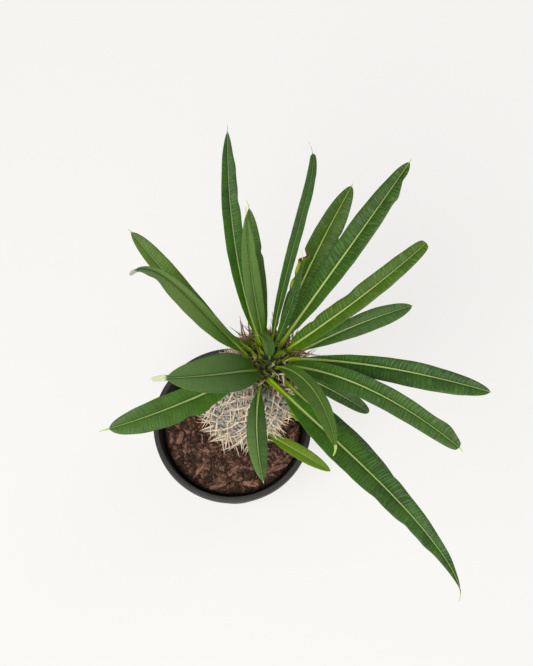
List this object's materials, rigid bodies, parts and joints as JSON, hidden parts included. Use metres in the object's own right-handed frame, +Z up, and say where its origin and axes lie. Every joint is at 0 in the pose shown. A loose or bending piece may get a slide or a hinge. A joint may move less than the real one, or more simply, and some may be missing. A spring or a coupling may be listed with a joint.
{
  "type": "potted pachypodium plant",
  "caption": "Leaning spiny succulent stem topped by a rosette of long strap leaves, planted in a plain round nursery pot of bark mix.",
  "frame": {"origin": "centre of the pot's underside, on the plane it stands on", "axes": "+Z up out of the pot, +X towards the side that the stem leans to, +Y away from the viewer, so the front faces -Y"},
  "size_m": [0.2466, 0.2849, 0.3792],
  "materials": {
    "pot_plastic": "thin black nursery-pot plastic, satin with fine scuffs",
    "potting_mix": "moist dark brown bark and coir mix, matte and crumbly",
    "stem_skin": "grey-green succulent bark with tubercles, matte",
    "leaf_green": "deep green leathery leaf, softly glossy, with a paler midrib",
    "bark": "reddish brown bark chips, matte and rough"
  },
  "bodies": {
    "root": {"pot": "pot_plastic", "soil": "potting_mix", "stem": "stem_skin", "leaf_01": "leaf_green", "leaf_02": "leaf_green", "leaf_03": "leaf_green", "leaf_04": "leaf_green", "leaf_05": "leaf_green", "leaf_06": "leaf_green", "leaf_07": "leaf_green", "leaf_08": "leaf_green", "leaf_09": "leaf_green", "leaf_10": "leaf_green", "leaf_11": "leaf_green", "leaf_12": "leaf_green", "leaf_13": "leaf_green", "leaf_14": "leaf_green", "leaf_15": "leaf_green", "leaf_16": "leaf_green", "leaf_17": "leaf_green", "leaf_18": "leaf_green", "leaf_19": "leaf_green", "leaf_20": "leaf_green", "leaf_21": "leaf_green", "leaf_22": "leaf_green", "leaf_low": "leaf_green", "leaf_stub": "leaf_green", "bark_01": "bark", "bark_02": "bark", "bark_03": "bark", "bark_04": "bark", "bark_05": "bark", "bark_06": "bark", "bark_07": "bark", "bark_08": "bark", "bark_09": "bark", "bark_10": "bark", "bark_11": "bark"}
  },
  "joints": []
}
